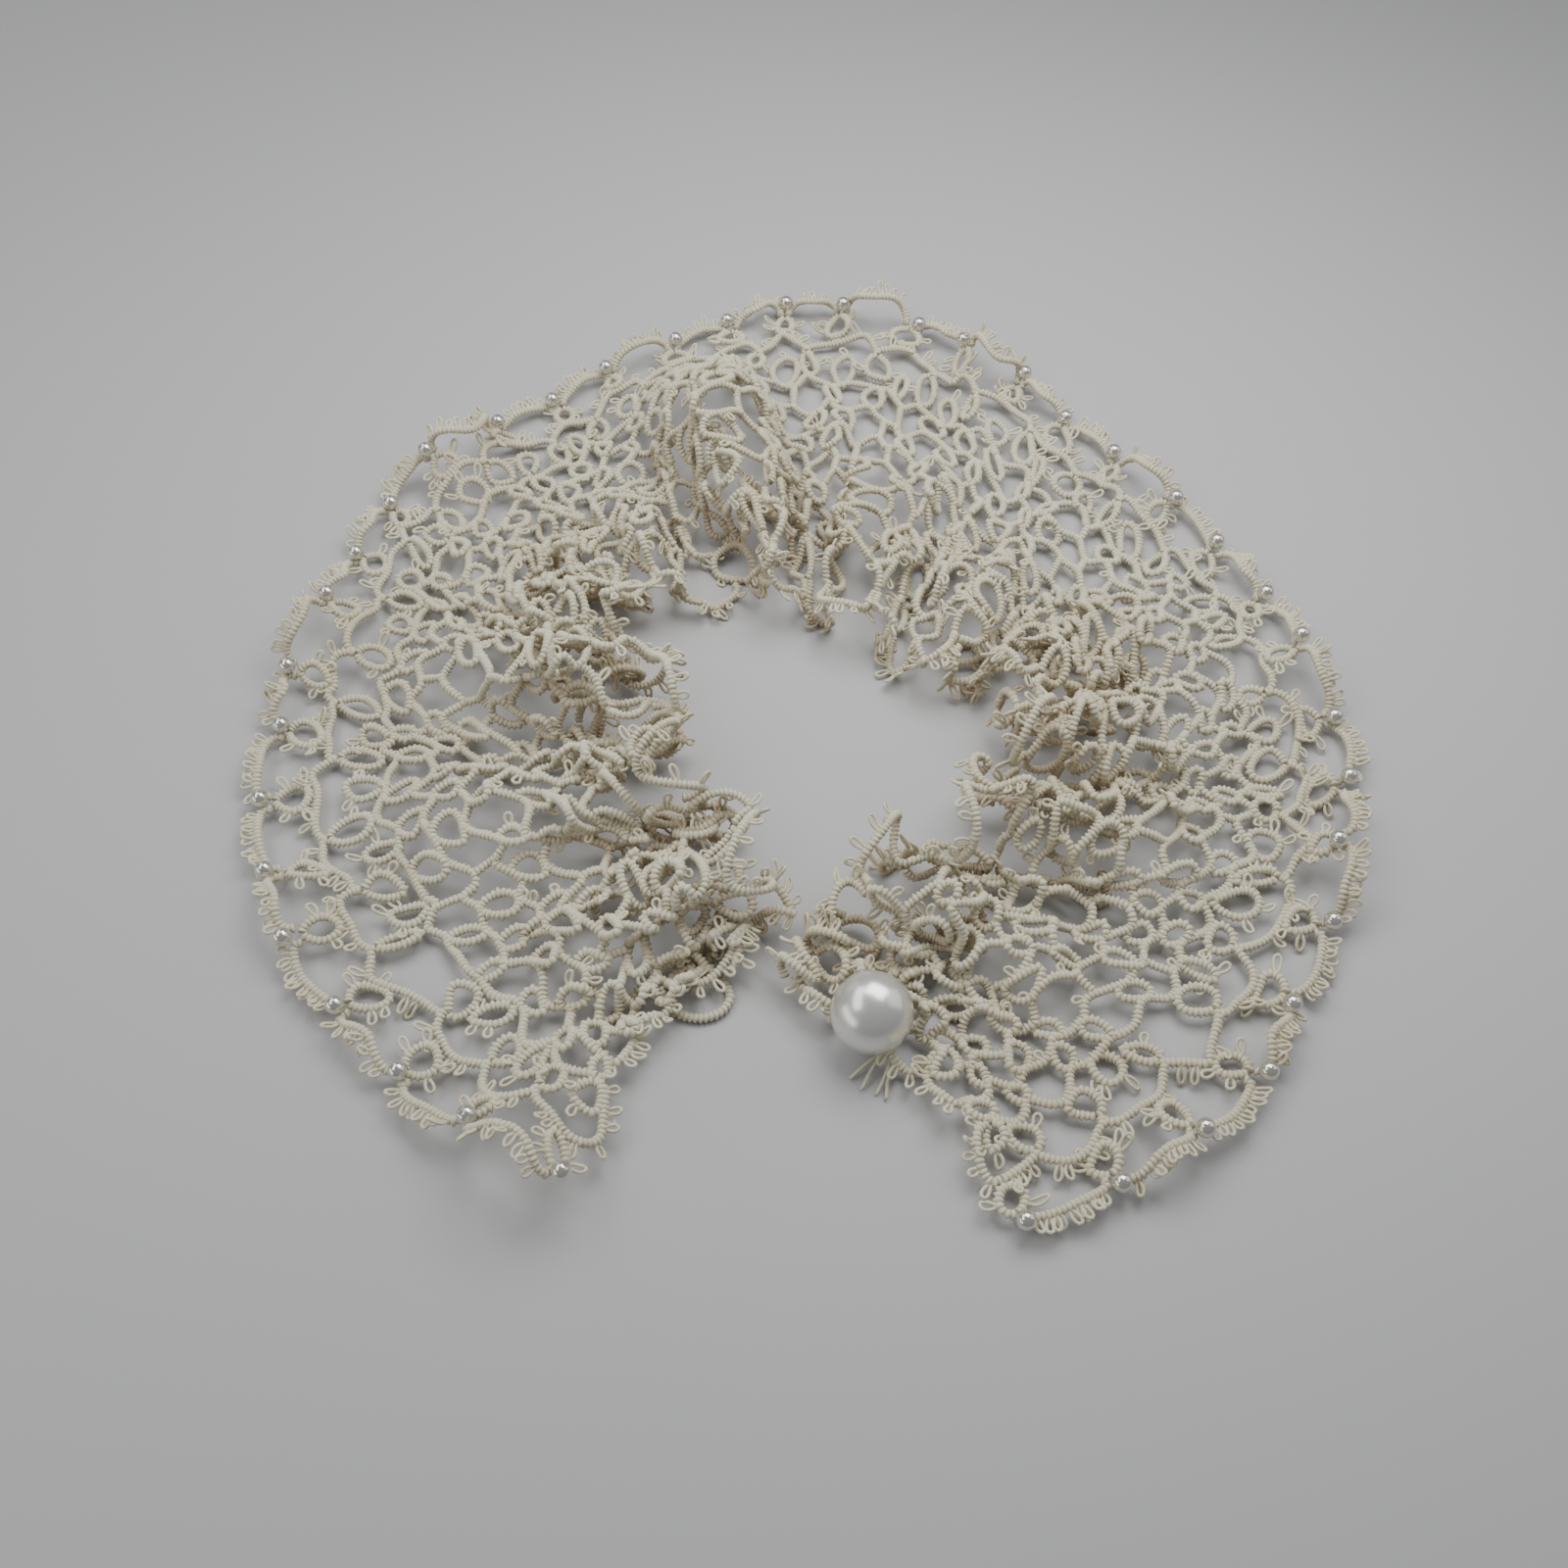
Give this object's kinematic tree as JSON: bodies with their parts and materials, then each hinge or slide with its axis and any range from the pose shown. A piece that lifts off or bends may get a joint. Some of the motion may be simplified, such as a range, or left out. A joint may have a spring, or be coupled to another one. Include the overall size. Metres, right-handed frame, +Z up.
{
  "type": "lace collar",
  "caption": "Ruffled lace collar laid open: a curved band of knotted thread with scalloped, beaded edge and a small round button and loop at the neck.",
  "frame": {"origin": "on the surface the collar lies on, under the middle of its bounding box", "axes": "+Y from the front opening to the middle of the back, +X to the side with the button, +Z up out of the surface"},
  "size_m": [0.1922, 0.208, 0.0188],
  "materials": {
    "thread": "matte twisted cotton thread, off-white",
    "pearl": "glossy pearl coating, white"
  },
  "bodies": {
    "root": {"outer_edging_left_front": "thread", "outer_edging_left_shoulder": "thread", "outer_edging_back": "thread", "outer_edging_right_shoulder": "thread", "outer_edging_right_front": "thread", "ground_left_front": "thread", "ground_left_shoulder": "thread", "ground_back": "thread", "ground_right_shoulder": "thread", "ground_right_front": "thread", "neck_edging_left_front": "thread", "neck_edging_left_shoulder": "thread", "neck_edging_back": "thread", "neck_edging_right_shoulder": "thread", "neck_edging_right_front": "thread", "button_loop": "thread", "pearl_button": "pearl"}
  },
  "joints": []
}
